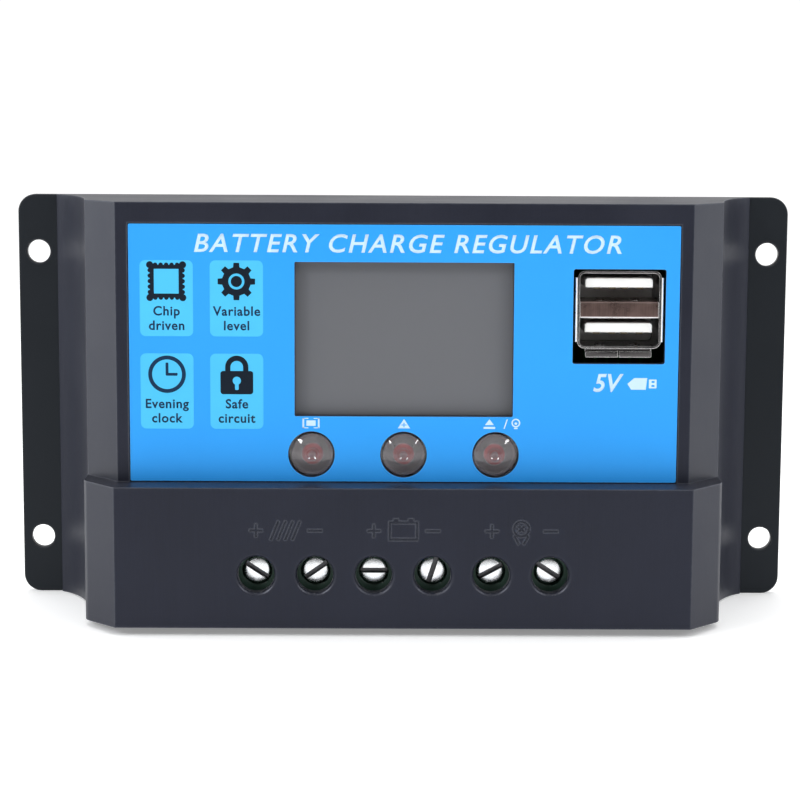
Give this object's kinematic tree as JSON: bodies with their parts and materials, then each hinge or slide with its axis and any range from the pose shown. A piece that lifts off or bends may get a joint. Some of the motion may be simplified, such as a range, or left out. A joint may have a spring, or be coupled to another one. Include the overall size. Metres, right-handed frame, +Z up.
{
  "type": "solar charge controller",
  "caption": "Wall-mounted solar charge controller with a display, push buttons, USB sockets and screw clamp terminals on a flanged plate.",
  "frame": {"origin": "middle of the plate's back face, which is also the middle of the four wall holes", "axes": "+X to the right seen from the front, +Z up as mounted on a wall, the front faces -Y"},
  "size_m": [0.1334, 0.035, 0.07],
  "materials": {
    "plate_black": "satin",
    "housing_black": "matte",
    "label_blue": "satin",
    "display_grey": "gloss",
    "backlight_white": "satin",
    "tin": "satin",
    "board_green": "satin",
    "switch_black": "satin",
    "cap_clear": "gloss",
    "stem_red": "satin",
    "usb_nickel": "gloss",
    "usb_white": "satin",
    "gold_contact": "gloss",
    "block_green": "matte",
    "brass_bar": "satin",
    "plated_steel": "satin",
    "pad_grey": "matte",
    "chip_black": "matte",
    "clamp_aluminium": "satin",
    "can_sleeve": "gloss",
    "ferrite": "matte",
    "copper_wire": "satin",
    "print_white": "satin",
    "print_navy": "satin",
    "print_pale": "satin"
  },
  "bodies": {
    "housing": {"back_plate": "plate_black", "front_housing": "housing_black", "face_label": "label_blue", "display_glass": "display_grey", "display_backlight": "backlight_white", "display_pins": "tin", "main_board": "board_green", "switch_bodies": "switch_black", "usb_shell": "usb_nickel", "usb_divider": "usb_nickel", "usb_insulator": "usb_white", "usb_contacts": "gold_contact", "terminal_block": "block_green", "contact_bars": "brass_bar", "thermal_pad": "pad_grey", "transistor_bodies": "chip_black", "transistor_tabs": "tin", "transistor_leads": "tin", "transistor_clamp": "clamp_aluminium", "clamp_screws": "plated_steel", "housing_screws": "plated_steel", "board_screws": "plated_steel", "capacitors": "can_sleeve", "inductor_core": "ferrite", "inductor_winding": "copper_wire", "microcontroller": "chip_black", "regulator_chip": "chip_black", "chip_leads": "tin", "crystal_can": "tin", "power_diodes": "chip_black", "shunt_strap": "brass_bar", "chip_resistors": "chip_black", "thermistor": "ferrite"},
    "menu_button": {"menu_cap": "cap_clear", "menu_stem": "stem_red"},
    "up_button": {"up_cap": "cap_clear", "up_stem": "stem_red"},
    "down_button": {"down_cap": "cap_clear", "down_stem": "stem_red"},
    "screw_1": {"terminal_screw_1": "plated_steel"},
    "clamp_1": {"clamp_cage_1": "tin"},
    "screw_2": {"terminal_screw_2": "plated_steel"},
    "clamp_2": {"clamp_cage_2": "tin"},
    "screw_3": {"terminal_screw_3": "plated_steel"},
    "clamp_3": {"clamp_cage_3": "tin"},
    "screw_4": {"terminal_screw_4": "plated_steel"},
    "clamp_4": {"clamp_cage_4": "tin"},
    "screw_5": {"terminal_screw_5": "plated_steel"},
    "clamp_5": {"clamp_cage_5": "tin"},
    "screw_6": {"terminal_screw_6": "plated_steel"},
    "clamp_6": {"clamp_cage_6": "tin"}
  },
  "joints": [
    {"name": "menu_press", "type": "slide", "parent": "housing", "child": "menu_button", "axis": [0, 1, 0], "range_m": [0, 0.00035], "stiffness_N_per_m": 5000, "springref_m": -0.00005},
    {"name": "up_press", "type": "slide", "parent": "housing", "child": "up_button", "axis": [0, 1, 0], "range_m": [0, 0.00035], "stiffness_N_per_m": 5000, "springref_m": -0.00005},
    {"name": "down_press", "type": "slide", "parent": "housing", "child": "down_button", "axis": [0, 1, 0], "range_m": [0, 0.00035], "stiffness_N_per_m": 5000, "springref_m": -0.00005},
    {"name": "screw_1_turn", "type": "hinge", "parent": "housing", "child": "screw_1", "pos_m": [-0.02375, -0.0288, -0.0249], "axis": [0, 1, 0], "range_deg": [0, 2160]},
    {"name": "clamp_1_slide", "type": "slide", "parent": "housing", "child": "clamp_1", "axis": [0, -1, 0], "range_m": [0, 0.0042]},
    {"name": "screw_2_turn", "type": "hinge", "parent": "housing", "child": "screw_2", "pos_m": [-0.01425, -0.0288, -0.0249], "axis": [0, 1, 0], "range_deg": [0, 2160]},
    {"name": "clamp_2_slide", "type": "slide", "parent": "housing", "child": "clamp_2", "axis": [0, -1, 0], "range_m": [0, 0.0042]},
    {"name": "screw_3_turn", "type": "hinge", "parent": "housing", "child": "screw_3", "pos_m": [-0.00475, -0.0288, -0.0249], "axis": [0, 1, 0], "range_deg": [0, 2160]},
    {"name": "clamp_3_slide", "type": "slide", "parent": "housing", "child": "clamp_3", "axis": [0, -1, 0], "range_m": [0, 0.0042]},
    {"name": "screw_4_turn", "type": "hinge", "parent": "housing", "child": "screw_4", "pos_m": [0.00475, -0.0288, -0.0249], "axis": [0, 1, 0], "range_deg": [0, 2160]},
    {"name": "clamp_4_slide", "type": "slide", "parent": "housing", "child": "clamp_4", "axis": [0, -1, 0], "range_m": [0, 0.0042]},
    {"name": "screw_5_turn", "type": "hinge", "parent": "housing", "child": "screw_5", "pos_m": [0.01425, -0.0288, -0.0249], "axis": [0, 1, 0], "range_deg": [0, 2160]},
    {"name": "clamp_5_slide", "type": "slide", "parent": "housing", "child": "clamp_5", "axis": [0, -1, 0], "range_m": [0, 0.0042]},
    {"name": "screw_6_turn", "type": "hinge", "parent": "housing", "child": "screw_6", "pos_m": [0.02375, -0.0288, -0.0249], "axis": [0, 1, 0], "range_deg": [0, 2160]},
    {"name": "clamp_6_slide", "type": "slide", "parent": "housing", "child": "clamp_6", "axis": [0, -1, 0], "range_m": [0, 0.0042]}
  ],
  "couplings": [
    {"joint": "clamp_1_slide", "follows": "screw_1_turn", "m_per_rad": 0.00011141},
    {"joint": "clamp_2_slide", "follows": "screw_2_turn", "m_per_rad": 0.00011141},
    {"joint": "clamp_3_slide", "follows": "screw_3_turn", "m_per_rad": 0.00011141},
    {"joint": "clamp_4_slide", "follows": "screw_4_turn", "m_per_rad": 0.00011141},
    {"joint": "clamp_5_slide", "follows": "screw_5_turn", "m_per_rad": 0.00011141},
    {"joint": "clamp_6_slide", "follows": "screw_6_turn", "m_per_rad": 0.00011141}
  ]
}
